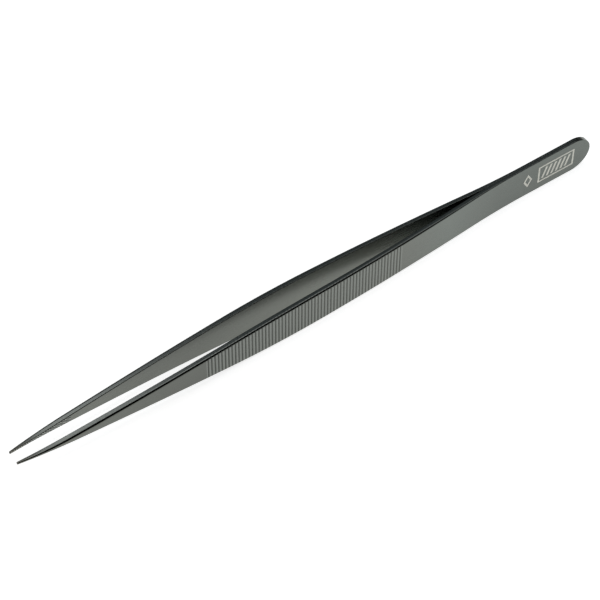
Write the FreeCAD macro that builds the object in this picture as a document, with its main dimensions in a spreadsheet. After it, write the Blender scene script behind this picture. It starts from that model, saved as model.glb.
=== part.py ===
import FreeCAD, Part
import math
import os

import Sketcher
from FreeCAD import Placement, Rotation, Vector

# Precision tweezers, lying on their long lower edges: X runs from the tips (-X) to the tail (+X),
# Y is the direction of the pinch and Z is across the width of the arms. The origin is under the
# middle of the tweezers, on the surface that they lie on.
#
# Each arm is one spring-steel leaf. The far arm (+Y) is modelled as a whole, and then divided
# along its length into a blade that swings, a neck that flexes and a heel that is welded to the
# other arm. The near arm is its mirror image. A station is a distance along X from the tips.

SIZES = [
    ("arm_length", 150.0, "tips to tail"),
    ("arm_width", 10.0, "full width of an arm, which is the height of the part as it lies"),
    ("bow_station", 55.0, "where the arms stand furthest apart"),
    ("bow_half_gap", 2.42, "mid-plane to inner face at the bow"),
    ("grip_thickness", 1.33, "steel thickness at the bow"),
    ("heel_thickness", 0.62, "steel thickness at the tail"),
    ("front_inner_radius", 1338.0, "inner face, tips to bow"),
    ("rear_inner_radius", 850.0, "inner face, bow to neck"),
    ("inner_flat_station", 123.0, "where the inner face meets the mid-plane"),
    ("front_outer_radius", 1450.0, "outer face, nose to bow"),
    ("rear_outer_radius", 760.0, "outer face, bow to neck"),
    ("outer_flat_station", 132.0, "where the outer face turns parallel to the mid-plane"),
    ("nose_length", 14.0, "length of the ground nose"),
    ("nose_radius", 105.0, "curvature of the ground nose"),
    ("tip_width", 0.66, "width of an arm at its tip"),
    ("flare_radius", 133.0, "concave curve of the outline behind the tip"),
    ("shoulder_radius", 284.0, "convex curve of the outline before full width"),
    ("shoulder_station", 74.8, "where the outline reaches full width"),
    ("edge_radius", 0.3, "rounding of the outer long edges"),
    ("groove_count", 60, "grip grooves on each outer face"),
    ("groove_pitch", 0.854, "spacing of the grip grooves"),
    ("groove_station", 45.73, "first grip groove"),
    ("groove_width", 0.4, "grip groove at the surface"),
    ("groove_depth", 0.16, "grip groove at its root"),
    ("serration_count", 27, "jaw serrations on each inner face"),
    ("serration_pitch", 0.55, "spacing of the jaw serrations"),
    ("serration_station", 0.7, "first jaw serration"),
    ("serration_width", 0.3, "jaw serration at the surface"),
    ("serration_depth", 0.1, "jaw serration at its root"),
    ("blade_station", 100.0, "rear end of the blade, where the neck starts"),
    ("heel_station", 120.0, "rear end of the neck, where the heel starts"),
    ("weld_count", 3, "spot welds between the heels"),
    ("weld_pitch", 7.0, "spacing of the spot welds"),
    ("weld_station", 128.0, "first spot weld"),
    ("weld_radius", 1.5, "radius of a weld nugget"),
    ("weld_depth", 0.2, "how far a weld nugget reaches into each heel"),
]
OVERCUT = 1.0           # how far a cut starts outside the steel
NOTCH_RISE = 0.05       # how far a groove's or serration's cutter stands out of the face
OUTER_TOLERANCE = 1e-4  # an edge nearer than this to the outer face belongs to it


def make_sheet(doc):
    """The driving dimensions, in millimetres."""
    sheet = doc.addObject("Spreadsheet::Sheet", "Sizes")
    for row, (alias, value, meaning) in enumerate(SIZES, start=1):
        sheet.set(f"A{row}", meaning)
        sheet.set(f"B{row}", str(value))
        sheet.setAlias(f"B{row}", alias)
    doc.recompute()
    return sheet


def origin_plane(body, role):
    return next(item for item in body.Origin.OriginFeatures if item.Role == role)


def new_sketch(body, name, role, offset):
    """A sketch on one of the body's origin planes, moved by expressions such as {"x": "..."}."""
    sketch = body.newObject("Sketcher::SketchObject", name)
    sketch.AttachmentSupport = [(origin_plane(body, role), "")]
    sketch.MapMode = "FlatFace"
    for axis, expression in offset.items():
        sketch.setExpression(f"AttachmentOffset.Base.{axis}", expression)
    return sketch


def bind(sketch, constraint, name, expression):
    """Add a named constraint and bind its value to the sheet."""
    index = sketch.addConstraint(constraint)
    sketch.renameConstraint(index, name)
    sketch.setExpression(f"Constraints.{name}", expression)


def crest_arc(centre, radius, left, right):
    """The stretch of a circle's upper side between two X values. It starts at the right."""
    circle = Part.Circle(Vector(*centre, 0), Vector(0, 0, 1), radius)
    start = math.acos((right - centre[0]) / radius)
    end = math.acos((left - centre[0]) / radius)
    return Part.ArcOfCircle(circle, start, end)


def trough_arc(centre, radius, left, right):
    """The stretch of a circle's lower side between two X values. It starts at the left."""
    circle = Part.Circle(Vector(*centre, 0), Vector(0, 0, 1), radius)
    start = -math.acos((left - centre[0]) / radius)
    end = -math.acos((right - centre[0]) / radius)
    return Part.ArcOfCircle(circle, start, end)


def line(start, end):
    return Part.LineSegment(Vector(*start, 0), Vector(*end, 0))


class Face:
    """One long face of the arm: front and rear arcs that crest at the bow, then a reverse arc
    that brings the face tangent to a flat at the heel."""

    def __init__(self, bow, crest, front_radius, rear_radius, flat_station, flat):
        self.bow = bow
        self.crest = crest
        self.front_radius = front_radius
        self.rear_radius = rear_radius
        self.flat_station = flat_station
        self.flat = flat
        run = flat_station - bow
        drop = crest - flat
        both = (run * run + drop * drop) / (2 * drop)
        self.neck_radius = both - rear_radius
        self.turn_station = bow + run * rear_radius / both
        self.front_centre = (bow, crest - front_radius)
        self.rear_centre = (bow, crest - rear_radius)
        self.neck_centre = (flat_station, flat + self.neck_radius)

    def height(self, station):
        if station >= self.flat_station:
            return self.flat
        if station >= self.turn_station:
            reach = station - self.flat_station
            return self.neck_centre[1] - math.sqrt(self.neck_radius ** 2 - reach ** 2)
        front = station < self.bow
        radius = self.front_radius if front else self.rear_radius
        return self.crest - radius + math.sqrt(radius ** 2 - (station - self.bow) ** 2)


def arm_faces(sheet):
    """The inner and outer faces of the arm."""
    inner = Face(sheet.bow_station, sheet.bow_half_gap, sheet.front_inner_radius,
                 sheet.rear_inner_radius, sheet.inner_flat_station, 0.0)
    outer = Face(sheet.bow_station, sheet.bow_half_gap + sheet.grip_thickness,
                 sheet.front_outer_radius, sheet.rear_outer_radius, sheet.outer_flat_station,
                 sheet.heel_thickness)
    return inner, outer


def nose_centre(sheet, outer):
    """The centre of the nose's arc, which is tangent to the outer face where the nose starts."""
    start = Vector(sheet.nose_length, outer.height(sheet.nose_length), 0)
    to_centre = Vector(*outer.front_centre, 0) - start
    centre = start + to_centre.normalize() * sheet.nose_radius
    return centre.x, centre.y


def outer_height(sheet, outer, station):
    """Height of the outer face over the mid-plane, nose included."""
    if station >= sheet.nose_length:
        return outer.height(station)
    centre = nose_centre(sheet, outer)
    return centre[1] + math.sqrt(sheet.nose_radius ** 2 - (station - centre[0]) ** 2)


def side_profile(body, sheet):
    """The arm seen along Z: its bowed inner and outer faces, from the tip to the tail."""
    inner, outer = arm_faces(sheet)
    tail = sheet.arm_length
    inner_tip = (0.0, inner.height(0.0))
    outer_tip = (0.0, outer_height(sheet, outer, 0.0))
    sketch = new_sketch(body, "side_profile", "XY_Plane", {"x": "-Sizes.arm_length / 2"})
    sketch.addGeometry([
        line(inner_tip, outer_tip),
        crest_arc(nose_centre(sheet, outer), sheet.nose_radius, 0.0, sheet.nose_length),
        crest_arc(outer.front_centre, outer.front_radius, sheet.nose_length, outer.bow),
        crest_arc(outer.rear_centre, outer.rear_radius, outer.bow, outer.turn_station),
        trough_arc(outer.neck_centre, outer.neck_radius, outer.turn_station, outer.flat_station),
        line((outer.flat_station, outer.flat), (tail, outer.flat)),
        line((tail, outer.flat), (tail, 0.0)),
        line((tail, 0.0), (inner.flat_station, 0.0)),
        trough_arc(inner.neck_centre, inner.neck_radius, inner.turn_station, inner.flat_station),
        crest_arc(inner.rear_centre, inner.rear_radius, inner.bow, inner.turn_station),
        crest_arc(inner.front_centre, inner.front_radius, 0.0, inner.bow),
    ])
    tip, nose, front, rear, neck, heel, end, seam, inner_neck, inner_rear, inner_front = range(11)
    first, last, centre = 1, 2, 3
    sketch.addConstraint([
        Sketcher.Constraint("Coincident", tip, last, nose, last),
        Sketcher.Constraint("Tangent", nose, first, front, last),
        Sketcher.Constraint("Tangent", front, first, rear, last),
        Sketcher.Constraint("Tangent", rear, first, neck, first),
        Sketcher.Constraint("Tangent", neck, last, heel, first),
        Sketcher.Constraint("Coincident", heel, last, end, first),
        Sketcher.Constraint("Coincident", end, last, seam, first),
        Sketcher.Constraint("Tangent", seam, last, inner_neck, last),
        Sketcher.Constraint("Tangent", inner_neck, first, inner_rear, first),
        Sketcher.Constraint("Tangent", inner_rear, last, inner_front, first),
        Sketcher.Constraint("Coincident", inner_front, last, tip, first),
        Sketcher.Constraint("Vertical", tip),
        Sketcher.Constraint("Vertical", end),
        Sketcher.Constraint("Horizontal", heel),
        Sketcher.Constraint("Horizontal", seam),
        Sketcher.Constraint("PointOnObject", tip, first, -2),
        Sketcher.Constraint("PointOnObject", seam, first, -1),
        Sketcher.Constraint("Vertical", rear, last, rear, centre),
        Sketcher.Constraint("Vertical", inner_rear, last, inner_rear, centre),
    ])
    station = [
        ("tail_x", end, first, tail, "Sizes.arm_length"),
        ("bow_x", rear, last, outer.bow, "Sizes.bow_station"),
        ("inner_bow_x", inner_rear, last, inner.bow, "Sizes.bow_station"),
        ("nose_x", nose, first, sheet.nose_length, "Sizes.nose_length"),
        ("outer_flat_x", heel, first, outer.flat_station, "Sizes.outer_flat_station"),
        ("inner_flat_x", seam, last, inner.flat_station, "Sizes.inner_flat_station"),
    ]
    for name, item, point, value, expression in station:
        bind(sketch, Sketcher.Constraint("DistanceX", item, point, value), name, expression)
    height = [
        ("heel_y", end, first, outer.flat, "Sizes.heel_thickness"),
        ("bow_y", rear, last, outer.crest, "Sizes.bow_half_gap + Sizes.grip_thickness"),
        ("inner_bow_y", inner_rear, last, inner.crest, "Sizes.bow_half_gap"),
    ]
    for name, item, point, value, expression in height:
        bind(sketch, Sketcher.Constraint("DistanceY", item, point, value), name, expression)
    curve = [
        ("nose_r", nose, sheet.nose_radius, "Sizes.nose_radius"),
        ("front_r", front, outer.front_radius, "Sizes.front_outer_radius"),
        ("rear_r", rear, outer.rear_radius, "Sizes.rear_outer_radius"),
        ("inner_rear_r", inner_rear, inner.rear_radius, "Sizes.rear_inner_radius"),
        ("inner_front_r", inner_front, inner.front_radius, "Sizes.front_inner_radius"),
    ]
    for name, item, value, expression in curve:
        bind(sketch, Sketcher.Constraint("Radius", item, value), name, expression)
    return sketch


def outline_curves(sheet):
    """Where the outline's concave arc, straight taper and convex arc meet, and their centres."""
    tip = sheet.tip_width / 2
    rise = sheet.arm_width / 2 - tip
    both = sheet.flare_radius + sheet.shoulder_radius
    run = sheet.shoulder_station
    taper = math.atan2(run, both - rise) - math.acos(both / math.hypot(run, both - rise))
    flare_centre = (0.0, tip + sheet.flare_radius)
    shoulder_centre = (run, sheet.arm_width / 2 - sheet.shoulder_radius)
    normal = (math.sin(taper), math.cos(taper))
    flare_end = (sheet.flare_radius * normal[0],
                 flare_centre[1] - sheet.flare_radius * normal[1])
    shoulder_start = (run - sheet.shoulder_radius * normal[0],
                      shoulder_centre[1] + sheet.shoulder_radius * normal[1])
    return flare_centre, flare_end, shoulder_start, shoulder_centre


def outline_cuts(body, sheet):
    """What is cut away above the outline, seen along Y: the taper to the tip and the round
    corner of the tail. The sketch's X axis is at mid-width."""
    flare_centre, flare_end, shoulder_start, shoulder_centre = outline_curves(sheet)
    tip = sheet.tip_width / 2
    half = sheet.arm_width / 2
    run = sheet.shoulder_station
    tail = sheet.arm_length
    top = half + OVERCUT
    corner = tail - half
    sketch = new_sketch(body, "outline_cuts", "XZ_Plane",
                        {"x": "-Sizes.arm_length / 2", "y": "Sizes.arm_width / 2"})
    sketch.addGeometry([
        line((-OVERCUT, tip), (0.0, tip)),
        trough_arc(flare_centre, sheet.flare_radius, 0.0, flare_end[0]),
        line(flare_end, shoulder_start),
        crest_arc(shoulder_centre, sheet.shoulder_radius, shoulder_start[0], run),
        line((run, half), (run, top)),
        line((run, top), (-OVERCUT, top)),
        line((-OVERCUT, top), (-OVERCUT, tip)),
        crest_arc((corner, 0.0), half, corner, tail),
        line((tail, 0.0), (tail + OVERCUT, 0.0)),
        line((tail + OVERCUT, 0.0), (tail + OVERCUT, top)),
        line((tail + OVERCUT, top), (corner, top)),
        line((corner, top), (corner, half)),
    ])
    lead, flare, taper, shoulder, riser, lid, back, tail_arc, step, wall, roof, drop = range(12)
    first, last, centre = 1, 2, 3
    sketch.addConstraint([
        Sketcher.Constraint("Tangent", lead, last, flare, first),
        Sketcher.Constraint("Tangent", flare, last, taper, first),
        Sketcher.Constraint("Tangent", taper, last, shoulder, last),
        Sketcher.Constraint("Coincident", shoulder, first, riser, first),
        Sketcher.Constraint("Coincident", riser, last, lid, first),
        Sketcher.Constraint("Coincident", lid, last, back, first),
        Sketcher.Constraint("Coincident", back, last, lead, first),
        Sketcher.Constraint("Horizontal", lead),
        Sketcher.Constraint("Horizontal", lid),
        Sketcher.Constraint("Vertical", riser),
        Sketcher.Constraint("Vertical", back),
        Sketcher.Constraint("PointOnObject", lead, last, -2),
        Sketcher.Constraint("Vertical", shoulder, first, shoulder, centre),
        Sketcher.Constraint("Coincident", tail_arc, first, step, first),
        Sketcher.Constraint("Coincident", step, last, wall, first),
        Sketcher.Constraint("Coincident", wall, last, roof, first),
        Sketcher.Constraint("Coincident", roof, last, drop, first),
        Sketcher.Constraint("Coincident", drop, last, tail_arc, last),
        Sketcher.Constraint("Horizontal", step),
        Sketcher.Constraint("Horizontal", roof),
        Sketcher.Constraint("Vertical", wall),
        Sketcher.Constraint("Vertical", drop),
        Sketcher.Constraint("PointOnObject", tail_arc, first, -1),
        Sketcher.Constraint("PointOnObject", tail_arc, centre, -1),
        Sketcher.Constraint("Vertical", tail_arc, centre, tail_arc, last),
        Sketcher.Constraint("DistanceX", lead, first, -OVERCUT),
        Sketcher.Constraint("DistanceX", step, OVERCUT),
        Sketcher.Constraint("DistanceY", riser, OVERCUT),
        Sketcher.Constraint("DistanceY", drop, -OVERCUT),
    ])
    distance_x, distance_y, radius = "DistanceX", "DistanceY", "Radius"
    sizes = [
        ("shoulder_x", Sketcher.Constraint(distance_x, shoulder, first, run),
         "Sizes.shoulder_station"),
        ("tail_x", Sketcher.Constraint(distance_x, tail_arc, first, tail), "Sizes.arm_length"),
        ("tip_y", Sketcher.Constraint(distance_y, lead, last, tip), "Sizes.tip_width / 2"),
        ("shoulder_y", Sketcher.Constraint(distance_y, shoulder, first, half),
         "Sizes.arm_width / 2"),
        ("flare_r", Sketcher.Constraint(radius, flare, sheet.flare_radius),
         "Sizes.flare_radius"),
        ("shoulder_r", Sketcher.Constraint(radius, shoulder, sheet.shoulder_radius),
         "Sizes.shoulder_radius"),
        ("tail_r", Sketcher.Constraint(radius, tail_arc, half), "Sizes.arm_width / 2"),
    ]
    for name, constraint, expression in sizes:
        bind(sketch, constraint, name, expression)
    return sketch


def through_pocket(body, name, sketch):
    """A cut right through the arm, both ways from its sketch."""
    pocket = body.newObject("PartDesign::Pocket", name)
    pocket.Profile = sketch
    pocket.Type = "ThroughAll"
    pocket.Midplane = True
    return pocket


def long_outer_edges(solid, sheet):
    """Names of the edges round the outer face, without the lines that run straight across it."""
    outer = arm_faces(sheet)[1]
    names = []
    for number, edge in enumerate(solid.Edges, start=1):
        middle = (edge.FirstParameter + edge.LastParameter) / 2
        point = edge.valueAt(middle)
        across = abs(edge.tangentAt(middle).z) > 0.99
        if across and edge.Curve.TypeId == "Part::GeomLine":
            continue
        station = point.x + sheet.arm_length / 2
        if abs(point.y - outer_height(sheet, outer, station)) < OUTER_TOLERANCE:
            names.append(f"Edge{number}")
    return names


def notch_sketch(body, name, turning, centre, mouth, root, width):
    """A V notch on a curved face. The sketch's origin is the centre of the face's arc and its X
    axis points at the notch, so that a polar pattern about the origin follows the face.
    mouth and root are expressions for the radii of the open end and of the bottom, and width
    is one for the open end."""
    sketch = new_sketch(body, name, "XY_Plane", {"x": centre[0], "y": centre[1]})
    sketch.setExpression("AttachmentOffset.Rotation.Angle", turning)
    mouth_x, root_x, mouth_width = (sketch.evalExpression(text) for text in (mouth, root, width))
    upper_corner = (mouth_x, mouth_width / 2)
    lower_corner = (mouth_x, -mouth_width / 2)
    sketch.addGeometry([
        line((root_x, 0), upper_corner),
        line(upper_corner, lower_corner),
        line(lower_corner, (root_x, 0)),
    ])
    upper, open_end, lower = range(3)
    first, last = 1, 2
    sketch.addConstraint([
        Sketcher.Constraint("Coincident", upper, last, open_end, first),
        Sketcher.Constraint("Coincident", open_end, last, lower, first),
        Sketcher.Constraint("Coincident", lower, last, upper, first),
        Sketcher.Constraint("PointOnObject", upper, first, -1),
        Sketcher.Constraint("Symmetric", open_end, first, open_end, last, -1),
    ])
    bind(sketch, Sketcher.Constraint("DistanceX", upper, first, root_x), "root_x", root)
    bind(sketch, Sketcher.Constraint("DistanceX", open_end, first, mouth_x), "mouth_x", mouth)
    bind(sketch, Sketcher.Constraint("Distance", open_end, mouth_width), "mouth_width", width)
    return sketch


def notch_row(body, name, sketch, count, pitch, radius):
    """Cut the notch, and repeat it along the face towards the tail."""
    first = through_pocket(body, name, sketch)
    row = body.newObject("PartDesign::PolarPattern", f"{name}_row")
    row.Originals = [first]
    row.Axis = (sketch, ["N_Axis"])
    row.Reversed = True
    row.setExpression("Occurrences", count)
    row.setExpression("Angle", f"({count} - 1) * {pitch} / {radius} * 180 / pi")
    body.Tip = row
    return row


def grip_grooves(body):
    """Grooves straight across the outer face, where the fingers hold."""
    radius = "Sizes.rear_outer_radius"
    centre = ("Sizes.bow_station - Sizes.arm_length / 2",
              f"Sizes.bow_half_gap + Sizes.grip_thickness - {radius}")
    turning = f"acos((Sizes.groove_station - Sizes.bow_station) / {radius})"
    widening = f"(Sizes.groove_depth + {NOTCH_RISE}) / Sizes.groove_depth"
    sketch = notch_sketch(body, "groove_section", turning, centre,
                          f"{radius} + {NOTCH_RISE}", f"{radius} - Sizes.groove_depth",
                          f"Sizes.groove_width * {widening}")
    return notch_row(body, "grip_groove", sketch, "Sizes.groove_count", "Sizes.groove_pitch",
                     radius)


def jaw_serrations(body):
    """Fine serrations straight across the inner face, behind the tip."""
    radius = "Sizes.front_inner_radius"
    centre = ("Sizes.bow_station - Sizes.arm_length / 2", f"Sizes.bow_half_gap - {radius}")
    turning = f"acos((Sizes.serration_station - Sizes.bow_station) / {radius})"
    widening = f"(Sizes.serration_depth + {NOTCH_RISE}) / Sizes.serration_depth"
    sketch = notch_sketch(body, "serration_section", turning, centre,
                          f"{radius} - {NOTCH_RISE}", f"{radius} + Sizes.serration_depth",
                          f"Sizes.serration_width * {widening}")
    return notch_row(body, "serration", sketch, "Sizes.serration_count",
                     "Sizes.serration_pitch", radius)


def weld_pockets(body):
    """Round pockets in the inner face of the heel, each of which holds half of a weld nugget."""
    sketch = new_sketch(body, "weld_section", "XZ_Plane",
                        {"x": "Sizes.weld_station - Sizes.arm_length / 2",
                         "y": "Sizes.arm_width / 2"})
    radius = sketch.evalExpression("Sizes.weld_radius")
    circle = sketch.addGeometry(Part.Circle(Vector(0, 0, 0), Vector(0, 0, 1), radius))
    centre, origin = 3, -1
    sketch.addConstraint(Sketcher.Constraint("Coincident", circle, centre, origin, 1))
    bind(sketch, Sketcher.Constraint("Radius", circle, radius), "weld_r", "Sizes.weld_radius")
    pocket = body.newObject("PartDesign::Pocket", "weld_pocket")
    pocket.Profile = sketch
    pocket.setExpression("Length", "Sizes.weld_depth")
    row = body.newObject("PartDesign::LinearPattern", "weld_pocket_row")
    row.Originals = [pocket]
    row.Direction = (sketch, ["H_Axis"])
    row.setExpression("Occurrences", "Sizes.weld_count")
    row.setExpression("Length", "(Sizes.weld_count - 1) * Sizes.weld_pitch")
    body.Tip = row
    return row


def far_arm(doc, sheet):
    """The whole leaf of the far arm."""
    body = doc.addObject("PartDesign::Body", "far_arm")
    stock = body.newObject("PartDesign::Pad", "stock")
    stock.Profile = side_profile(body, sheet)
    stock.setExpression("Length", "Sizes.arm_width")
    cuts = outline_cuts(body, sheet)
    above = through_pocket(body, "outline_above", cuts)
    below = body.newObject("PartDesign::Mirrored", "outline_below")
    below.Originals = [above]
    below.MirrorPlane = (cuts, ["H_Axis"])
    body.Tip = below
    doc.recompute()
    rounding = body.newObject("PartDesign::Fillet", "outer_edge_rounding")
    rounding.Base = (below, long_outer_edges(below.Shape, sheet))
    rounding.setExpression("Radius", "Sizes.edge_radius")
    features = [stock, above, below, rounding]
    features.append(grip_grooves(body))
    features.append(jaw_serrations(body))
    features.append(weld_pockets(body))
    doc.recompute()
    check_cuts(features)
    return body


def check_cuts(features):
    """Each feature after the stock has to take some steel away."""
    for before, after in zip(features, features[1:]):
        if not after.Shape.Volume < before.Shape.Volume:
            raise RuntimeError(f"{after.Name} cuts nothing")


def arm_span(doc, name, arm, low, high):
    """The piece of an arm between two stations, given as expressions."""
    block = doc.addObject("Part::Box", f"{name}_block")
    block.setExpression("Placement.Base.x", f"{low} - Sizes.arm_length / 2")
    block.setExpression("Placement.Base.y", f"-{OVERCUT}")
    block.setExpression("Placement.Base.z", f"-{OVERCUT}")
    block.setExpression("Length", f"{high} - ({low})")
    block.setExpression("Width", f"Sizes.bow_half_gap + Sizes.grip_thickness + 2 * {OVERCUT}")
    block.setExpression("Height", f"Sizes.arm_width + 2 * {OVERCUT}")
    piece = doc.addObject("Part::Common", name)
    piece.Base = arm
    piece.Tool = block
    return piece


def mirrored(doc, name, far_piece):
    """The near arm's piece, mirrored in the mid-plane."""
    piece = doc.addObject("Part::Mirroring", name)
    piece.Source = far_piece
    piece.Normal = Vector(0, 1, 0)
    piece.Base = Vector(0, 0, 0)
    return piece


def weld_nuggets(doc, sheet):
    """The discs of fused steel that join the two heels, half of each in either heel."""
    nuggets = []
    for number in range(int(sheet.weld_count)):
        nugget = doc.addObject("Part::Cylinder", f"weld_nugget_{number + 1}")
        nugget.Placement = Placement(Vector(0, 0, 0), Rotation(Vector(1, 0, 0), -90))
        nugget.setExpression("Radius", "Sizes.weld_radius")
        nugget.setExpression("Height", "2 * Sizes.weld_depth")
        station = f"Sizes.weld_station + {number} * Sizes.weld_pitch"
        nugget.setExpression("Placement.Base.x", f"{station} - Sizes.arm_length / 2")
        nugget.setExpression("Placement.Base.y", "-Sizes.weld_depth")
        nugget.setExpression("Placement.Base.z", "Sizes.arm_width / 2")
        nuggets.append(nugget)
    group = doc.addObject("Part::Compound", "weld_nuggets")
    group.Links = nuggets
    return group


def build(doc):
    """Every sub-part of the tweezers."""
    sheet = make_sheet(doc)
    arm = far_arm(doc, sheet)
    spans = [
        ("blade", f"-{OVERCUT}", "Sizes.blade_station"),
        ("neck", "Sizes.blade_station", "Sizes.heel_station"),
        ("heel", "Sizes.heel_station", f"Sizes.arm_length + {OVERCUT}"),
    ]
    pieces = []
    for name, low, high in spans:
        far_piece = arm_span(doc, f"far_{name}", arm, low, high)
        pieces += [far_piece, mirrored(doc, f"near_{name}", far_piece)]
    pieces.append(weld_nuggets(doc, sheet))
    doc.recompute()
    return pieces


def check(doc, pieces):
    """Stop if any object failed to compute or any sub-part is not a sound solid."""
    for item in doc.Objects:
        if {"Invalid", "Error"} & set(item.State):
            raise RuntimeError(f"{item.Name} did not compute: {item.State}")
    for piece in pieces:
        if piece.Shape.isNull() or not piece.Shape.isValid() or not piece.Shape.Solids:
            raise RuntimeError(f"{piece.Label} is not a sound solid")


def export(pieces):
    os.makedirs("parts", exist_ok=True)
    for piece in pieces:
        piece.Shape.exportStep(f"parts/{piece.Label}.step")
        box = piece.Shape.BoundBox
        print(f"{piece.Label}: {len(piece.Shape.Solids)} solid(s), {piece.Shape.Volume:.1f} mm3, "
              f"x {box.XMin:.2f} to {box.XMax:.2f}, y {box.YMin:.2f} to {box.YMax:.2f}, "
              f"z {box.ZMin:.2f} to {box.ZMax:.2f}")


document = FreeCAD.newDocument("tweezers")
sub_parts = build(document)
check(document, sub_parts)
export(sub_parts)
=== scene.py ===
"""Straight precision tweezers: the looks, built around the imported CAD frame."""
import math

import bpy
from mathutils import Matrix, Vector


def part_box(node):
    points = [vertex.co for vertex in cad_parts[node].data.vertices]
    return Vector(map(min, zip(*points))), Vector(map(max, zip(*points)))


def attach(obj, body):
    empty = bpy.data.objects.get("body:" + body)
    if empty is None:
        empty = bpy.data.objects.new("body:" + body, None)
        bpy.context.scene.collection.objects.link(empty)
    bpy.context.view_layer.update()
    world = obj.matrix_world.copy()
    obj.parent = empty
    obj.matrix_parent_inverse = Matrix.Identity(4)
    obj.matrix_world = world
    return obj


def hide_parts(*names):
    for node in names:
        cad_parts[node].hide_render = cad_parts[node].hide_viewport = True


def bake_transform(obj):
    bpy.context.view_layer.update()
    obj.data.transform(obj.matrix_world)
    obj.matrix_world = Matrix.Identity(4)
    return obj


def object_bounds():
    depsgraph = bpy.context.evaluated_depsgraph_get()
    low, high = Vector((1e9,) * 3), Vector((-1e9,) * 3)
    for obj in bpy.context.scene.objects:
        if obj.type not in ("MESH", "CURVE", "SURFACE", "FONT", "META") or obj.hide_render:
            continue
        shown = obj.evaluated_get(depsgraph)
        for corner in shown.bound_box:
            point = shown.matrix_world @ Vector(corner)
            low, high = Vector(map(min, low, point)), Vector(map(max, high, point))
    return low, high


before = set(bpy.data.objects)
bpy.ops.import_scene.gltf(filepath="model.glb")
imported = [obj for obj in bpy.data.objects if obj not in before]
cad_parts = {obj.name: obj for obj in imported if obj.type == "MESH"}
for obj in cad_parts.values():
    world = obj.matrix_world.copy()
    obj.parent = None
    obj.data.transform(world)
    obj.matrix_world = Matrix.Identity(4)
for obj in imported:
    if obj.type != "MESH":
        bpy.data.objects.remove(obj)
CAD_LOW, CAD_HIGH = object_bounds()

bl_info = {
    "name": "Precision tweezers",
    "version": (1, 0, 0),
    "blender": (4, 5, 0),
    "location": "3D View > Sidebar > Tweezers",
    "description": "Models and finishes a pair of straight spring-steel tweezers",
    "category": "Object",
}

MM = 0.001
TIP_X, TAIL_X = CAD_LOW.x, CAD_HIGH.x
MIDDLE_Z = (CAD_LOW.z + CAD_HIGH.z) / 2
HALF_WIDTH = (CAD_HIGH.z - CAD_LOW.z) / 2 / MM
LENGTH = (TAIL_X - TIP_X) / MM


# ---------------------------------------------------------------- sizes and colours


class LeafSizes(bpy.types.PropertyGroup):
    """What is cut and ground into the two spring-steel leaves."""

    grip_round: bpy.props.FloatProperty(
        name="Grip edge rounding", description="Width of the rounding along the outer edges where the fingers hold",
        default=0.60 * MM, min=0.1 * MM, max=0.7 * MM, precision=5, unit="LENGTH")
    heel_round: bpy.props.FloatProperty(
        name="Heel edge rounding", description="Width of the rounding along the outer edges of the thin heel",
        default=0.17 * MM, min=0.05 * MM, max=0.25 * MM, precision=5, unit="LENGTH")
    inner_round: bpy.props.FloatProperty(
        name="Inner edge rounding", description="Width of the rounding along the edges between the leaves",
        default=0.17 * MM, min=0.04 * MM, max=0.25 * MM, precision=5, unit="LENGTH")
    groove_depth: bpy.props.FloatProperty(
        name="Groove depth", description="Depth of the cross grooves in the grip",
        default=0.16 * MM, min=0.05 * MM, max=0.25 * MM, precision=5, unit="LENGTH")
    groove_count: bpy.props.IntProperty(
        name="Grooves", description="Number of cross grooves in each grip", default=60, min=10, max=60)
    tooth_depth: bpy.props.FloatProperty(
        name="Jaw tooth depth", description="Depth of the crossed cuts in the jaws",
        default=0.09 * MM, min=0.03 * MM, max=0.12 * MM, precision=5, unit="LENGTH")


class MarkSizes(bpy.types.PropertyGroup):
    """The plain etched marks on one heel."""

    stroke: bpy.props.FloatProperty(
        name="Stroke", description="Width of an etched stroke",
        default=0.44 * MM, min=0.1 * MM, max=0.6 * MM, precision=5, unit="LENGTH")
    frame_length: bpy.props.FloatProperty(
        name="Frame length", description="Length of the etched frame along the leaf",
        default=10.0 * MM, min=5 * MM, max=11 * MM, precision=5, unit="LENGTH")
    frame_height: bpy.props.FloatProperty(
        name="Frame height", description="Height of the etched frame across the leaf",
        default=5.4 * MM, min=3 * MM, max=7 * MM, precision=5, unit="LENGTH")


class Finishes(bpy.types.PropertyGroup):
    """Colours and roughness of the steel."""

    steel: bpy.props.FloatVectorProperty(
        name="Blackened steel", description="Colour of the blackened faces",
        default=(0.127, 0.135, 0.125), min=0, max=1, size=3, subtype="COLOR")
    ground: bpy.props.FloatVectorProperty(
        name="Ground edge", description="Colour of the cross-ground edges",
        default=(0.150, 0.160, 0.151), min=0, max=1, size=3, subtype="COLOR")
    roughness: bpy.props.FloatProperty(
        name="Roughness", description="Roughness of the blackened faces",
        default=0.27, min=0.05, max=1, subtype="FACTOR")
    mark: bpy.props.FloatVectorProperty(
        name="Etched mark", description="Colour of the etched marks",
        default=(0.55, 0.55, 0.50), min=0, max=1, size=3, subtype="COLOR")
    weld: bpy.props.FloatVectorProperty(
        name="Weld", description="Colour of the weld nuggets",
        default=(0.36, 0.35, 0.34), min=0, max=1, size=3, subtype="COLOR")


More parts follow.
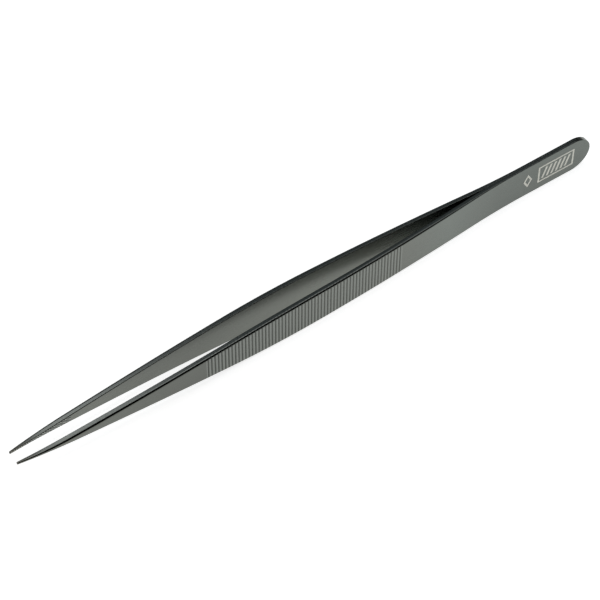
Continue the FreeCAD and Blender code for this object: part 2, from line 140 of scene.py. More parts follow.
class StudioSetup(bpy.types.PropertyGroup):
    """Floor, lamps and camera."""

    floor: bpy.props.FloatVectorProperty(
        name="Floor", description="Colour of the floor",
        default=(0.90, 0.90, 0.90), min=0, max=1, size=3, subtype="COLOR")
    azimuth: bpy.props.FloatProperty(
        name="Azimuth", description="Direction of the camera round the tweezers",
        default=math.radians(-34.13), subtype="ANGLE", unit="ROTATION")
    elevation: bpy.props.FloatProperty(
        name="Elevation", description="Height of the camera above the horizon",
        default=math.radians(54.39), subtype="ANGLE", unit="ROTATION")
    distance: bpy.props.FloatProperty(
        name="Distance", description="Distance from the camera to what it looks at",
        default=0.5517, min=0.1, max=2, unit="LENGTH")
    lens: bpy.props.FloatProperty(
        name="Lens", description="Focal length in millimetres on a 36 mm sensor", default=153.23, min=20, max=300)


# ---------------------------------------------------------------- shape of a leaf, in millimetres from the tips


class Crest:
    """One face of a leaf seen from above: two arcs that meet at the bow, then a hollow arc that runs out flat."""

    def __init__(self, crest, front, rear, flat_at, flat):
        self.crest, self.front, self.rear, self.flat_at, self.flat = crest, front, rear, flat_at, flat
        run, drop = flat_at - BOW, crest - flat
        both = (run ** 2 + drop ** 2) / (2 * drop)
        self.neck = both - rear
        self.turn = BOW + run * rear / both

    def height(self, station):
        if station >= self.flat_at:
            return self.flat
        if station >= self.turn:
            return self.flat + self.neck - math.sqrt(self.neck ** 2 - (station - self.flat_at) ** 2)
        radius = self.front if station < BOW else self.rear
        return self.crest - radius + math.sqrt(radius ** 2 - (station - BOW) ** 2)


BOW = 55.0
INNER = Crest(2.42, 1338.0, 850.0, 123.0, 0.0)
OUTER = Crest(3.75, 1450.0, 760.0, 132.0, 0.62)
NOSE, NOSE_RADIUS = 14.0, 105.0


def nose_centre():
    """Centre of the arc that draws the outer face in to the tip; it is tangent to the outer face."""
    start = Vector((NOSE, OUTER.height(NOSE)))
    return start + (Vector((BOW, OUTER.crest - OUTER.front)) - start).normalized() * NOSE_RADIUS


NOSE_CENTRE = nose_centre()


def outer_height(station):
    if station < NOSE:
        return NOSE_CENTRE.y + math.sqrt(NOSE_RADIUS ** 2 - (station - NOSE_CENTRE.x) ** 2)
    return OUTER.height(station)


TIP_HALF = 0.33
FLARE, SHOULDER, SHOULDER_AT = 133.0, 284.0, 74.8


def half_width(station):
    """Half the width of a leaf: flared tip, straight taper, rounded shoulder, then parallel."""
    run, rise, both = SHOULDER_AT, HALF_WIDTH - TIP_HALF, FLARE + SHOULDER
    taper = math.atan2(run, both - rise) - math.acos(both / math.hypot(run, both - rise))
    flare_end, shoulder_start = FLARE * math.sin(taper), SHOULDER_AT - SHOULDER * math.sin(taper)
    if station < flare_end:
        return TIP_HALF + FLARE - math.sqrt(FLARE ** 2 - station ** 2)
    if station < shoulder_start:
        return TIP_HALF + FLARE * (1 - math.cos(taper)) + (station - flare_end) * math.tan(taper)
    if station < SHOULDER_AT:
        return HALF_WIDTH - SHOULDER + math.sqrt(SHOULDER ** 2 - (station - SHOULDER_AT) ** 2)
    return HALF_WIDTH


def fade(value, start, end):
    """0 before start, 1 after end, smooth between."""
    share = min(1.0, max(0.0, (value - start) / (end - start)))
    return share * share * (3 - 2 * share)


def at(station, y=0.0, z=0.0):
    """A point in metres from a station and heights in millimetres; z is measured from the middle."""
    return Vector((TIP_X + station * MM, y * MM, MIDDLE_Z + z * MM))


def slope(height, station):
    return math.atan2(height(station + 0.05) - height(station - 0.05), 0.1)


# ---------------------------------------------------------------- modelling by hand


def clear_selection():
    if bpy.context.mode != "OBJECT":
        bpy.ops.object.mode_set(mode="OBJECT")
    bpy.ops.object.select_all(action="DESELECT")


def pick(*pieces):
    """Select these pieces and nothing else; the last one is active."""
    clear_selection()
    for piece in pieces:
        piece.select_set(True)
        bpy.context.view_layer.objects.active = piece


def settle(piece):
    """Put the piece's place into its mesh, so that its object sits at the origin."""
    pick(piece)
    bpy.ops.object.transform_apply(location=True, rotation=True, scale=True)


def edit(piece):
    """Enter edit mode with everything selected."""
    pick(piece)
    bpy.ops.object.mode_set(mode="EDIT")
    bpy.ops.mesh.select_all(action="SELECT")


def choose(piece, kind, test):
    """Select the mesh's vertices or edges that pass the test, in edit mode."""
    bpy.ops.object.mode_set(mode="EDIT")
    bpy.ops.mesh.select_mode(type={"vertices": "VERT", "edges": "EDGE"}[kind])
    bpy.ops.mesh.select_all(action="DESELECT")
    bpy.ops.object.mode_set(mode="OBJECT")
    for part in getattr(piece.data, kind):
        part.select = test(part)
    bpy.ops.object.mode_set(mode="EDIT")


def ends(piece, edge):
    return [piece.data.vertices[i].co for i in edge.vertices]


def outward(piece):
    edit(piece)
    bpy.ops.mesh.remove_doubles(threshold=2e-7)
    bpy.ops.mesh.normals_make_consistent(inside=False)
    bpy.ops.object.mode_set(mode="OBJECT")


def copy_of(piece, name):
    """A copy with its own mesh."""
    pick(piece)
    bpy.ops.object.duplicate(linked=False)
    twin = bpy.context.object
    twin.name = twin.data.name = name
    return twin


def joined(pieces, name):
    pick(*pieces)
    bpy.ops.object.join()
    whole = bpy.context.object
    whole.name = whole.data.name = name
    return whole


def finished(piece, kind, **settings):
    """Add a modifier and apply it."""
    pick(piece)
    modifier = piece.modifiers.new(kind.title(), kind)
    for name, value in settings.items():
        setattr(modifier, name, value)
    bpy.ops.object.modifier_apply(modifier=modifier.name)


def cut_away(piece, cutter):
    finished(piece, "BOOLEAN", object=cutter, operation="DIFFERENCE", solver="EXACT")
    bpy.data.objects.remove(cutter)


# ---------------------------------------------------------------- the leaves


def stations():
    """Where the rings of a leaf stand, from the tail to the tips: close together at the nose."""
    nose = [0, 0.45, 0.9, 1.4, 2, 2.7, 3.5, 4.5, 5.5, 6.5, 8, 9.5, 11, 12.5, 14]
    body = [14 + 2 * step for step in range(1, 66)]
    return [LENGTH] + body[::-1] + nose[::-1]


def drawn_leaf():
    """A plain bar of the leaf's own thickness and width: a plate at the tail drawn out to the tips."""
    place = [(s, -(INNER.height(s) + outer_height(s)) / 2, outer_height(s) - INNER.height(s), 2 * half_width(s))
             for s in stations()]
    station, middle, thick, wide = place[0]
    clear_selection()
    bpy.ops.mesh.primitive_plane_add(size=1, location=at(station, middle), rotation=(0, math.pi / 2, 0))
    leaf = bpy.context.object
    leaf.name = leaf.data.name = "near_leaf"
    settle(leaf)
    edit(leaf)
    bpy.ops.transform.resize(value=(1, thick * MM, wide * MM), center_override=at(station, middle))
    for (s0, m0, t0, w0), (s1, m1, t1, w1) in zip(place, place[1:]):
        bpy.ops.mesh.extrude_region_move(TRANSFORM_OT_translate={"value": at(s1, m1) - at(s0, m0)})
        bpy.ops.transform.resize(value=(1, t1 / t0, w1 / w0), center_override=at(s1, m1))
    bpy.ops.object.mode_set(mode="OBJECT")
    outward(leaf)
    return leaf


def round_tail(leaf):
    """Round the two corners of the heel into a half circle."""
    def corner(edge):
        a, b = ends(leaf, edge)
        return min(a.x, b.x) > TAIL_X - 0.01 * MM and abs(a.z - b.z) < 0.01 * MM

    choose(leaf, "edges", corner)
    bpy.ops.mesh.bevel(offset_type="OFFSET", offset=HALF_WIDTH * MM, segments=22, profile=0.5,
                       clamp_overlap=False, affect="EDGES")
    bpy.ops.object.mode_set(mode="OBJECT")
    outward(leaf)


NECK = 98, 126  # stations between which the roundings thin down to the heel's
TIP_ROUND = 0.18


def round_edges(leaf, sizes):
    """Round every long edge: broadly where the fingers hold, finely on the thin heel and between the leaves."""
    widest = 1.2 * sizes.grip_round
    weights = leaf.data.attributes.new("bevel_weight_edge", "FLOAT", "EDGE")
    beside = {}
    for face in leaf.data.polygons:
        for key in face.edge_keys:
            beside.setdefault(key, []).append(face.normal)
    for edge in leaf.data.edges:
        one, other = beside[edge.key]
        if one.angle(other) < math.radians(50):
            continue
        a, b = ends(leaf, edge)
        station = ((a.x + b.x) / 2 - TIP_X) / MM
        at_tip = max(abs(one.x), abs(other.x)) > 0.7 and station < 1
        heel = fade(station, *NECK)
        if at_tip:
            width = TIP_ROUND * MM
        elif min(one.y, other.y) < -0.7:  # on the outer face
            width = sizes.grip_round * (1 - heel) + sizes.heel_round * heel
            width += (widest - sizes.grip_round) * (1 - fade(station, 16, 40))
            width = min(width, 0.94 * half_width(station) * MM)
        else:
            width = sizes.inner_round * (1.3 - 0.3 * fade(station, 14, 18) - 0.6 * heel)
        weights.data[edge.index].value = width / widest
    finished(leaf, "BEVEL", limit_method="WEIGHT", width=widest, segments=8, profile=0.5,
             use_clamp_overlap=False)
    outward(leaf)


OVERCUT = 1.15  # a cutter's V is larger than its cut by this share, so that its mouth stands clear of the face
GROOVES_FROM, GROOVE_PITCH, GROOVE_WIDTH = 45.73, 0.854, 0.40
TEETH_FROM, TEETH_END, TOOTH_PITCH, TOOTH_WIDTH = -1.6, 15.0, 0.60, 0.36
TOOTH_SETS = ((math.radians(45), 1.0), (math.radians(-45), 0.83))  # slant of each set, and its share of the depth
SLANT_REACH = 2.4  # stations past the end of the jaw from which a slanting cut still reaches into it
WELD_GAP = 0.01


def notch(name, opening, depth, length):
    """A V cutter lying along Z: its mouth faces -Y and its root is depth above the origin."""
    clear_selection()
    bpy.ops.mesh.primitive_cylinder_add(vertices=3, radius=1, depth=length, location=(0, 0, 0))
    cutter = bpy.context.object
    cutter.name = cutter.data.name = name
    low = min(v.co.y for v in cutter.data.vertices)
    high = max(v.co.y for v in cutter.data.vertices)
    wide = max(v.co.x for v in cutter.data.vertices) * 2
    edit(cutter)
    bpy.ops.transform.translate(value=(0, -high, 0))
    bpy.ops.transform.resize(value=(OVERCUT * opening / wide, OVERCUT * depth / (high - low), 1),
                             center_override=(0, 0, 0))
    bpy.ops.transform.translate(value=(0, depth, 0))
    bpy.ops.object.mode_set(mode="OBJECT")
    return cutter


def grip_cutters(sizes):
    """One groove cutter, repeated along the outer face with its mouth square to it."""
    first = notch("groove_cutter", GROOVE_WIDTH * MM, sizes.groove_depth, 2.4 * HALF_WIDTH * MM)
    row = []
    for number in range(sizes.groove_count):
        station = GROOVES_FROM + number * GROOVE_PITCH
        cutter = copy_of(first, "groove_cutter")
        cutter.location = at(station, -outer_height(station))
        cutter.rotation_euler = (0, 0, -slope(outer_height, station))
        row.append(cutter)
    bpy.data.objects.remove(first)
    whole = joined(row, "grip_cutters")
    settle(whole)
    return whole


def jaw_cutters(sizes, slant, share):
    """Slanting cuts across the inner face of the jaw, stopped square at their end."""
    first = notch("tooth_cutter", share * TOOTH_WIDTH * MM, share * sizes.tooth_depth, 5 * MM)
    row = []
    for number in range(round((TEETH_END + SLANT_REACH - TEETH_FROM) / TOOTH_PITCH)):
        station = TEETH_FROM + number * TOOTH_PITCH
        cutter = copy_of(first, "tooth_cutter")
        turn = Matrix.Rotation(-slope(INNER.height, station), 4, "Z") @ Matrix.Rotation(math.pi, 4, "Z")
        cutter.matrix_world = Matrix.Translation(at(station, -INNER.height(station))) @ turn \
            @ Matrix.Rotation(slant, 4, "Y")
        row.append(cutter)
    bpy.data.objects.remove(first)
    whole = joined(row, "jaw_cutters")
    settle(whole)
    edit(whole)
    bpy.ops.mesh.bisect(plane_co=at(TEETH_END), plane_no=(1, 0, 0), use_fill=True, clear_outer=True)
    bpy.ops.object.mode_set(mode="OBJECT")
    outward(whole)
    return whole


def weld_pocket_cutters():
    """Room for the weld nuggets between the heels."""
    low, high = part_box("weld_nuggets")
    radius = (high.z - low.z) / 2
    row = []
    for share in (0.0, 0.5, 1.0):
        clear_selection()
        x = low.x + radius + share * (high.x - low.x - 2 * radius)
        bpy.ops.mesh.primitive_cylinder_add(
            vertices=48, radius=radius + WELD_GAP * MM, depth=high.y - low.y + 2 * WELD_GAP * MM,
            location=(x, 0, MIDDLE_Z), rotation=(math.pi / 2, 0, 0))
        row.append(bpy.context.object)
    whole = joined(row, "weld_pocket_cutters")
    settle(whole)
    return whole


def smooth_leaf(leaf):
    pick(leaf)
    bpy.ops.object.shade_smooth_by_angle(angle=math.radians(22))
    finished(leaf, "WEIGHTED_NORMAL", mode="FACE_AREA", weight=100, keep_sharp=True)


class TWEEZERS_OT_leaves(bpy.types.Operator):
    """Model the two leaves: draw them out, round them, cut the grip and the jaws"""

    bl_idname = "tweezers.leaves"
    bl_label = "Leaves"

    def execute(self, context):
        sizes = context.scene.leaf_sizes
        near = drawn_leaf()
        round_tail(near)
        round_edges(near, sizes)
        cut_away(near, grip_cutters(sizes))
        for slant, share in TOOTH_SETS:
            cut_away(near, jaw_cutters(sizes, slant, share))
        cut_away(near, weld_pocket_cutters())
        outward(near)
        far = copy_of(near, "far_leaf")
        edit(far)
        bpy.ops.transform.resize(value=(1, -1, 1), center_override=(0, 0, 0))
        bpy.ops.object.mode_set(mode="OBJECT")
        outward(far)
        steel = blackened_steel(context.scene.finishes, sizes.groove_count)
        for leaf, side in ((near, "near"), (far, "far")):
            smooth_leaf(leaf)
            leaf.data.materials.append(steel)
            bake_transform(leaf)
            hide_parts(f"{side}_blade", f"{side}_neck", f"{side}_heel")
        return {"FINISHED"}


# ---------------------------------------------------------------- marks and welds


MARK_SUNK, MARK_PROUD = 0.03, 0.012
LOZENGE_AT, LOZENGE_LONG, LOZENGE_TALL = 132.5, 2.4, 4.4
FRAME_AT, BAR_COUNT, BAR_PITCH, BAR_LEAN, BAR_INSET, BAR_WIDTH = 140.4, 6, 1.28, 0.55, 0.95, 0.58


def raised_strip(name, corners):
    """A thin flat strip on the heel's outer face, drawn by its four corners in millimetres along and across."""
    clear_selection()
    bpy.ops.mesh.primitive_plane_add(size=2, location=(0, 0, 0), rotation=(math.pi / 2, 0, 0))
    strip = bpy.context.object
    strip.name = strip.data.name = name
    settle(strip)
    signs = [(-1, -1), (1, -1), (1, 1), (-1, 1)]
    level = -OUTER.flat + MARK_SUNK
    for sign, (station, z) in zip(signs, corners):
        choose(strip, "vertices", lambda v: v.co.x * sign[0] > 0.5 and abs(v.co.x) < 1.5 and v.co.z * sign[1] > 0.5)
        bpy.ops.transform.translate(value=at(station, level, z) - Vector((sign[0], 0, sign[1])))
        bpy.ops.object.mode_set(mode="OBJECT")
    return strip


def thickened(outline):
    """Give a flat outline its thickness, away from the leaf."""
    edit(outline)
    bpy.ops.mesh.extrude_region_move(TRANSFORM_OT_translate={"value": (0, -(MARK_SUNK + MARK_PROUD) * MM, 0)})
    bpy.ops.object.mode_set(mode="OBJECT")
    outward(outline)
    return outline


def outline_of(name, corners, stroke):
    """A closed outline: a flat strip inset by the stroke, with its middle taken out."""
    ring = raised_strip(name, corners)
    edit(ring)
    bpy.ops.mesh.select_mode(type="FACE")
    bpy.ops.mesh.inset(thickness=stroke, use_even_offset=True)
    bpy.ops.mesh.delete(type="FACE")
    bpy.ops.object.mode_set(mode="OBJECT")
    return thickened(ring)


class TWEEZERS_OT_marks(bpy.types.Operator):
    """Etch a small lozenge and a plain hatched frame on the near heel"""

    bl_idname = "tweezers.marks"
    bl_label = "Etched marks"

    def execute(self, context):
        sizes = context.scene.mark_sizes
        stroke = sizes.stroke
        half, top = sizes.frame_length / MM / 2, sizes.frame_height / MM / 2
        left, right = FRAME_AT - half, FRAME_AT + half
        front, rear, peak = LOZENGE_AT - LOZENGE_LONG / 2, LOZENGE_AT + LOZENGE_LONG / 2, LOZENGE_TALL / 2
        lozenge = outline_of("mark", [(front, 0), (LOZENGE_AT, -peak), (rear, 0), (LOZENGE_AT, peak)], stroke)
        border = outline_of("mark", [(left, -top), (right, -top), (right, top), (left, top)], stroke)
        first = FRAME_AT - (BAR_COUNT - 1) / 2 * BAR_PITCH
        foot, head, thick, reach = first - BAR_LEAN, first + BAR_LEAN, BAR_WIDTH / 2, top - BAR_INSET
        bar = thickened(raised_strip("mark", [(foot - thick, -reach), (foot + thick, -reach),
                                              (head + thick, reach), (head - thick, reach)]))
        bars = [bar]
        for number in range(1, BAR_COUNT):
            twin = copy_of(bar, "mark")
            edit(twin)
            bpy.ops.transform.translate(value=(number * BAR_PITCH * MM, 0, 0))
            bpy.ops.object.mode_set(mode="OBJECT")
            bars.append(twin)
        marks = joined([lozenge, border, *bars], "near_heel_marks")
        marks.data.materials.append(etched_steel(context.scene.finishes))
        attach(marks, "tail")
        return {"FINISHED"}


class TWEEZERS_OT_welds(bpy.types.Operator):
    """Finish the weld nuggets that join the heels"""

    bl_idname = "tweezers.welds"
    bl_label = "Welds"

    def execute(self, context):
        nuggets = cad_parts["weld_nuggets"]
        finish = weld_steel(context.scene.finishes)
        for holder in nuggets.material_slots:
            holder.material = finish
        if not nuggets.material_slots:
            nuggets.data.materials.append(finish)
        return {"FINISHED"}


# ---------------------------------------------------------------- finishes


class Wire:
    """A number in a finish's node tree; arithmetic on it adds the Math nodes."""

    def __init__(self, finish, socket):
        self.finish, self.socket = finish, socket

    def maths(self, operation, *values):
        return self.finish.add("ShaderNodeMath", {"operation": operation}, dict(enumerate(values)))

    def __add__(self, other):
        return self.maths("ADD", self, other)

    __radd__ = __add__

    def __sub__(self, other):
        return self.maths("SUBTRACT", self, other)

    def __rsub__(self, other):
        return self.maths("SUBTRACT", other, self)

    def __mul__(self, other):
        return self.maths("MULTIPLY", self, other)

    __rmul__ = __mul__

    def __truediv__(self, other):
        return self.maths("DIVIDE", self, other)

    def __abs__(self):
        return self.maths("ABSOLUTE", self)

    def step(self, low, high):
        """0 below low, 1 above high, smooth between."""
        return self.finish.add("ShaderNodeMapRange", {"interpolation_type": "SMOOTHSTEP", "clamp": True},
                               {0: self, 1: low, 2: high, 3: 0.0, 4: 1.0})

    def between(self, low, high, soft):
        return self.step(low - soft, low + soft) * (1 - self.step(high - soft, high + soft))

    def nearest(self, pitch):
        """Distance to the nearest whole number of pitches."""
        return self.maths("PINGPONG", self / pitch, 0.5) * pitch


class Finish:
    """A node tree that is filled in one node at a time."""

    def __init__(self, tree):
        self.tree = tree
        tree.nodes.clear()

    def add(self, kind, settings=None, inputs=None, output=0):
        """Add a node: its settings first, then its sockets' values or wires. Returns one of its outputs."""
        node = self.tree.nodes.new(kind)
        for name, value in (settings or {}).items():
            if name == "stops":
                marks = node.color_ramp.elements
                while len(marks) < len(value):
                    marks.new(1.0)
                for mark, (place, shade) in zip(marks, value):
                    mark.position, mark.color = place, shade
            else:
                setattr(node, name, value)
        for name, value in (inputs or {}).items():
            socket = node.inputs[name]
            if isinstance(value, Wire):
                self.tree.links.new(value.socket, socket)
            else:
                socket.default_value = value
        return Wire(self, node.outputs[output]) if node.outputs else None

    def place(self):
        return self.add("ShaderNodeTexCoord", output="Object")

    def facing(self):
        return self.split(self.add("ShaderNodeTexCoord", output="Normal"))

    def split(self, vector):
        first = self.add("ShaderNodeSeparateXYZ", None, {0: vector})
        return [Wire(self, output) for output in first.socket.node.outputs]

    def noise(self, place, per_mm, detail=2.0, rough=0.5):
        """Noise with its own number of waves per millimetre along X, Y and Z."""
        stretched = self.add("ShaderNodeVectorMath", {"operation": "MULTIPLY"},
                             {0: place, 1: tuple(count / MM for count in per_mm)})
        return self.add("ShaderNodeTexNoise", {"noise_dimensions": "3D"},
                        {"Vector": stretched, "Scale": 1.0, "Detail": detail, "Roughness": rough})

    def mix(self, share, one, other):
        """A colour between two colours."""
        return self.add("ShaderNodeMix", {"data_type": "RGBA", "blend_type": "MIX"},
                        {0: share, 6: one, 7: other}, output=2)

    def scaled(self, colour, amount):
        """A colour made lighter or darker by a number."""
        grey = self.add("ShaderNodeCombineXYZ", None, {0: amount, 1: amount, 2: amount})
        return self.add("ShaderNodeMix", {"data_type": "RGBA", "blend_type": "MULTIPLY"},
                        {0: 1.0, 6: colour, 7: grey}, output=2)

    def bump(self, height, depth):
        return self.add("ShaderNodeBump", None, {"Height": height, "Distance": depth, "Strength": 1.0})

    def surface(self, **sockets):
        shader = self.add("ShaderNodeBsdfPrincipled", None, {name.replace("_", " "): value
                                                             for name, value in sockets.items()})
        self.add("ShaderNodeOutputMaterial", None, {"Surface": shader})


def new_finish(name):
    material = bpy.data.materials.new(name)
    material.use_nodes = True
    return material, Finish(material.node_tree)


def rgba(colour, light=1.0):
    return (*(c * light for c in colour), 1.0)


WARM, COOL = (1.0, 1.0, 0.955), (0.955, 1.01, 0.98)  # how the black turns a little from the tips to the heel
WORN, BARE = (0.20, 0.195, 0.17), (0.235, 0.23, 0.20)  # steel that shows through at the nose and at the very tips
WORN_OUT, BARE_OUT, CORNER_SHADE_OUT = (11.0, 18.0), (0.0, 7.0), (13.0, 17.0)  # stations where each of these fades out; the corner's is a painted dark line of shade along the jaw's inner rounding
BOW_SHEEN = 45.0, 75.0  # stations between which the inner face is painted lighter still, a painted highlight


def blackened_steel(finishes, groove_count):
    """Blackened spring steel: satin faces with a painted sheen along the leaf, cross-ground edges, grip ridges partly
    worn and partly a painted highlight, painted shade in the grooves, jaws painted pale as a painted highlight with
    painted shade in their cuts.
    """
    material, f = new_finish("blackened_steel")
    place = f.place()
    x, y, z = f.split(place)
    _, ny, nz = f.facing()
    station = (x - TIP_X) / MM

    ground = abs(nz).step(0.72, 0.93)
    rounded = abs(nz).step(0.20, 0.60)
    clouds = f.noise(place, (0.09, 0.4, 0.16), 3.0)
    along = f.noise(place, (0.12, 3.0, 7.0), 3.0, 0.6)
    fine = f.noise(place, (1.2, 9.0, 16.0), 2.0)
    across = f.noise(place, (3.1, 0.12, 0.5), 3.0, 0.65)
    specks = f.noise(place, (5.0, 5.0, 5.0), 2.0)

    in_grip = station.between(GROOVES_FROM - 0.5, GROOVES_FROM + (groove_count - 0.4) * GROOVE_PITCH, 0.05)
    from_root = (station - GROOVES_FROM).nearest(GROOVE_PITCH)
    outside = (ny * y / MM).step(0.3, 0.9)
    groove = in_grip * outside * (1 - from_root.step(0.05, GROOVE_WIDTH / 2))
    ridge_wear_and_sheen = in_grip * outside * from_root.step(0.17, 0.25)
    nose = 1 - station.step(*WORN_OUT)
    inside = 1 - (ny * y / MM).step(-0.3, -0.1)
    across_jaw = (z - MIDDLE_Z) / MM
    cuts = [(station - TEETH_FROM + across_jaw * way).nearest(TOOTH_PITCH).step(0.05, 0.20) for way in (1, -1)]
    jaw = (1 - station.step(TEETH_END - 0.05, TEETH_END + 0.05)) * abs(ny).step(0.70, 0.84) * inside
    root = jaw * (1 - cuts[0] * cuts[1])
    corner = (1 - station.step(*CORNER_SHADE_OUT)) * inside * abs(nz).between(0.44, 0.88, 0.05)

    # Painted sheen: the brightness of each stop is set station by station and stands in for how the reflections vary
    # along the leaf. The warm to cool tints are the black's own colour.
    tint_and_sheen = f.add("ShaderNodeValToRGB", {"stops": [(where / LENGTH, rgba(tint, light)) for where, light, tint in (
        (8, 0.54, WARM), (30, 0.45, WARM), (45, 0.43, WARM), (96, 0.54, WARM), (110, 0.60, COOL), (124, 0.49, COOL),
        (145, 0.47, COOL))]}, {0: station / LENGTH})
    # Painted highlight: the inner faces between the leaves are painted 19 % lighter, and up to 13 % more from station
    # 45 on, a lit copy of the steel.
    tint_and_sheen = f.scaled(tint_and_sheen, 2 * (0.90 + clouds * 0.12 + along * 0.08)
                    * (1 + inside * (0.19 + station.step(*BOW_SHEEN) * 0.13)))
    face = f.add("ShaderNodeMix", {"data_type": "RGBA", "blend_type": "MULTIPLY"},
                 {0: 1.0, 6: rgba(finishes.steel), 7: tint_and_sheen}, output=2)
    edge = f.scaled(rgba(finishes.ground), 0.78 + across * 0.44)
    colour = f.mix(ground, face, edge)
    # Painted shade: the groove roots are painted darker, as shade in the recesses.
    colour = f.mix(groove * 0.55, colour, rgba(finishes.steel, 0.5))
    # The ridge tops between the grooves are painted lighter in specks: partly wear, partly a painted highlight.
    colour = f.mix(ridge_wear_and_sheen * (0.45 + specks * 0.40), colour, rgba(finishes.steel, 1.65))
    # Painted highlight: the lands of the jaws are painted far lighter than the steel, standing in for the light they
    # catch.
    colour = f.mix(jaw, colour, rgba(finishes.steel, 3.8))
    # Painted shade: the roots of the crossed cuts in the jaws are painted near black, as shade in the cuts.
    colour = f.mix(root, colour, rgba(finishes.steel, 0.15))
    # Painted shade: a dark line is painted along the rounding between the jaws and the ground edges, near the tips.
    colour = f.mix(corner * 0.9, colour, rgba(finishes.steel, 0.15))
    colour = f.mix(nose * specks.step(0.35, 0.75) * 0.3, colour, rgba(WORN))
    colour = f.mix((1 - station.step(*BARE_OUT)) * (0.5 + specks * 0.4), colour, rgba(BARE))

    roughness = finishes.roughness - 0.04 + clouds * 0.04 + along * 0.04 - rounded * 0.15 + ground * 0.03 \
        + groove * 0.12
    height = (1 - ground) * (along * 0.6 + fine * 0.4) + ground * across * 0.35
    f.surface(Base_Color=colour, Metallic=1.0, Roughness=roughness, Normal=f.bump(height, 0.003 * MM))
    return material


def etched_steel(finishes):
    """Bare frosted steel where the black has been etched away."""
    material, f = new_finish("etched_steel")
    place = f.place()
    frost = f.noise(place, (9.0, 9.0, 9.0), 3.0, 0.6)
    patches = f.noise(place, (0.7, 0.7, 0.7), 2.0)
    colour = f.scaled(rgba(finishes.mark), 0.72 + frost * 0.26 + patches * 0.30)
    f.surface(Base_Color=colour, Metallic=1.0, Roughness=0.48 + frost * 0.14,
              Normal=f.bump(frost, 0.006 * MM))
    return material


def weld_steel(finishes):
    """Cast-looking weld metal with a faint straw tint in patches."""
    material, f = new_finish("weld_steel")
    place = f.place()
    grain = f.noise(place, (4.0, 4.0, 4.0), 4.0, 0.6)
    ripple = f.noise(place, (1.1, 1.1, 1.1), 2.0)
    colour = f.mix(ripple.step(0.4, 0.7) * 0.5, f.scaled(rgba(finishes.weld), 0.8 + grain * 0.4),
                   rgba((0.34, 0.26, 0.15)))
    f.surface(Base_Color=colour, Metallic=1.0, Roughness=0.38 + grain * 0.2, Normal=f.bump(grain, 0.02 * MM))
    return material


# ---------------------------------------------------------------- studio


def floor_paint(setup):
    """Matt white paper that glows a little, so that it stays pale to its far edge."""
    material, f = new_finish("white_paper")
    place = f.place()
    fibre = f.noise(place, (1.5, 1.5, 1.5), 3.0, 0.6)
    colour = f.scaled(rgba(setup.floor), 0.88 + fibre * 0.02)
    f.surface(Base_Color=colour, Roughness=0.9, Specular_IOR_Level=0.0, Emission_Color=rgba(setup.floor),
              Emission_Strength=0.80)
    return material


def softbox(name, centre, size, target, power):
    """An area lamp that faces its target and doesn't show to the camera."""
    lamp = bpy.data.lights.new(name, "AREA")
    lamp.shape = "RECTANGLE"
    lamp.size, lamp.size_y = size
    lamp.energy = power
    holder = bpy.data.objects.new(name, lamp)
    bpy.context.scene.collection.objects.link(holder)
    holder.location = centre
    holder.rotation_euler = (Vector(target) - Vector(centre)).to_track_quat("-Z", "Y").to_euler()
    holder.visible_camera = False
    return holder


def studio_air(scene):
    """Pale to the camera; to the steel, dim overhead, dark in front and lit from both ends, as in a draped studio."""
    world = bpy.data.worlds.new("studio")
    scene.world = world
    world.use_nodes = True
    f = Finish(world.node_tree)
    x, y, z = f.split(f.add("ShaderNodeTexCoord", output="Generated"))
    height = z.step(0.30, 0.85)
    behind = y.step(-0.35, 0.35)
    drape = f.mix(height * behind, (0.006, 0.006, 0.006, 1), (0.15, 0.17, 0.178, 1))
    aside = abs(x).step(0.72, 0.95) * z.step(0.02, 0.35)
    drape = f.mix(aside, drape, (0.30, 0.31, 0.31, 1))
    seen = f.add("ShaderNodeLightPath", output="Is Camera Ray")
    colour = f.mix(seen, drape, (0.93, 0.93, 0.93, 1))
    background = f.add("ShaderNodeBackground", None, {"Color": colour, "Strength": 1.0})
    f.add("ShaderNodeOutputWorld", None, {"Surface": background})


LOOK_AT = Vector((-0.00332, 0.00022, 0.00546))
CAMERA_ROLL = math.radians(0.34)


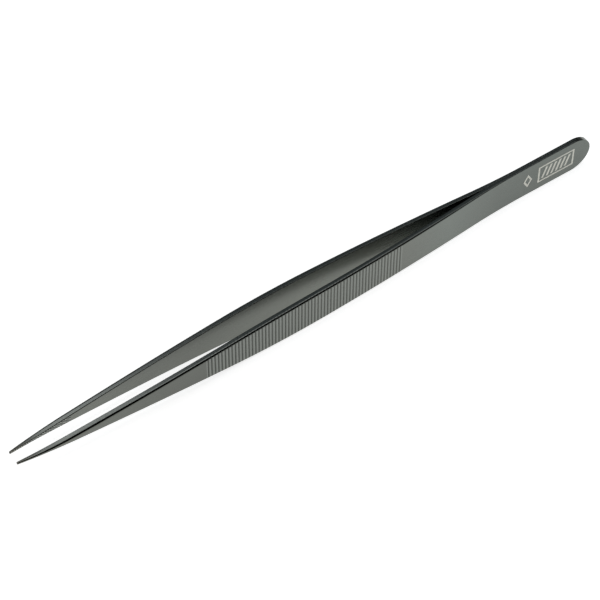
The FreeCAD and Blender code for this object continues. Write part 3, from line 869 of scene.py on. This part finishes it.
class TWEEZERS_OT_studio(bpy.types.Operator):
    """Set the floor, the lamps, the air and the camera"""

    bl_idname = "tweezers.studio"
    bl_label = "Studio"

    def execute(self, context):
        scene, setup = context.scene, context.scene.studio_setup
        clear_selection()
        bpy.ops.mesh.primitive_circle_add(vertices=96, radius=6.0, fill_type="NGON", location=(0, 0, CAD_LOW.z))
        floor = context.object
        floor.name = "floor"
        settle(floor)
        floor.data.materials.append(floor_paint(setup))

        softbox("overhead_softbox", (0.20, 0.0, 1.0), (2.0, 0.34), (0.20, 0.0, 0), 2.8)
        softbox("back_softbox", (-0.38, 0.60, 1.0), (0.94, 0.70), (-0.38, 0.60, 0), 2.7)
        fill = softbox("front_fill", (0.0, -1.6, 2.6), (2.5, 2.0), (0, 0, 0), 18.0)
        fill.visible_glossy = False
        studio_air(scene)

        turn, lift = setup.azimuth, setup.elevation
        back = Vector((math.sin(turn) * math.cos(lift), -math.cos(turn) * math.cos(lift), math.sin(lift)))
        right = Vector((math.cos(turn), math.sin(turn), 0))
        up = back.cross(right)
        cos, sin = math.cos(CAMERA_ROLL), math.sin(CAMERA_ROLL)
        right, up = right * cos + up * sin, up * cos - right * sin
        camera = bpy.data.objects.new("camera", bpy.data.cameras.new("camera"))
        scene.collection.objects.link(camera)
        camera.data.lens, camera.data.sensor_width = setup.lens, 36.0
        camera.data.clip_start, camera.data.clip_end = 0.01, 20.0
        camera.rotation_mode = "QUATERNION"
        camera.location = LOOK_AT + back * setup.distance
        camera.rotation_quaternion = Matrix((right, up, back)).transposed().to_quaternion()
        scene.camera = camera
        scene.view_settings.view_transform = "Standard"
        return {"FINISHED"}


# ---------------------------------------------------------------- panel and start


class TWEEZERS_PT_panel(bpy.types.Panel):
    """Sizes, colours and building steps of the tweezers"""

    bl_idname = "TWEEZERS_PT_panel"
    bl_label = "Tweezers"
    bl_space_type = "VIEW_3D"
    bl_region_type = "UI"
    bl_category = "Tweezers"

    def draw(self, context):
        for group, step in (("leaf_sizes", "tweezers.leaves"), ("mark_sizes", "tweezers.marks"),
                            ("finishes", "tweezers.welds"), ("studio_setup", "tweezers.studio")):
            box = self.layout.box()
            settings = getattr(context.scene, group)
            for field in settings.bl_rna.properties:
                if field.identifier not in ("rna_type", "name"):
                    box.prop(settings, field.identifier)
            box.operator(step)


GROUPS = {"leaf_sizes": LeafSizes, "mark_sizes": MarkSizes, "finishes": Finishes, "studio_setup": StudioSetup}
CLASSES = (*GROUPS.values(), TWEEZERS_OT_leaves, TWEEZERS_OT_marks, TWEEZERS_OT_welds, TWEEZERS_OT_studio,
           TWEEZERS_PT_panel)


def register():
    for item in CLASSES:
        bpy.utils.register_class(item)
    for name, group in GROUPS.items():
        setattr(bpy.types.Scene, name, bpy.props.PointerProperty(type=group))


def unregister():
    for name in GROUPS:
        delattr(bpy.types.Scene, name)
    for item in reversed(CLASSES):
        bpy.utils.unregister_class(item)


def main():
    register()
    bpy.ops.tweezers.leaves()
    bpy.ops.tweezers.marks()
    bpy.ops.tweezers.welds()
    bpy.ops.tweezers.studio()


if __name__ == "__main__":
    main()
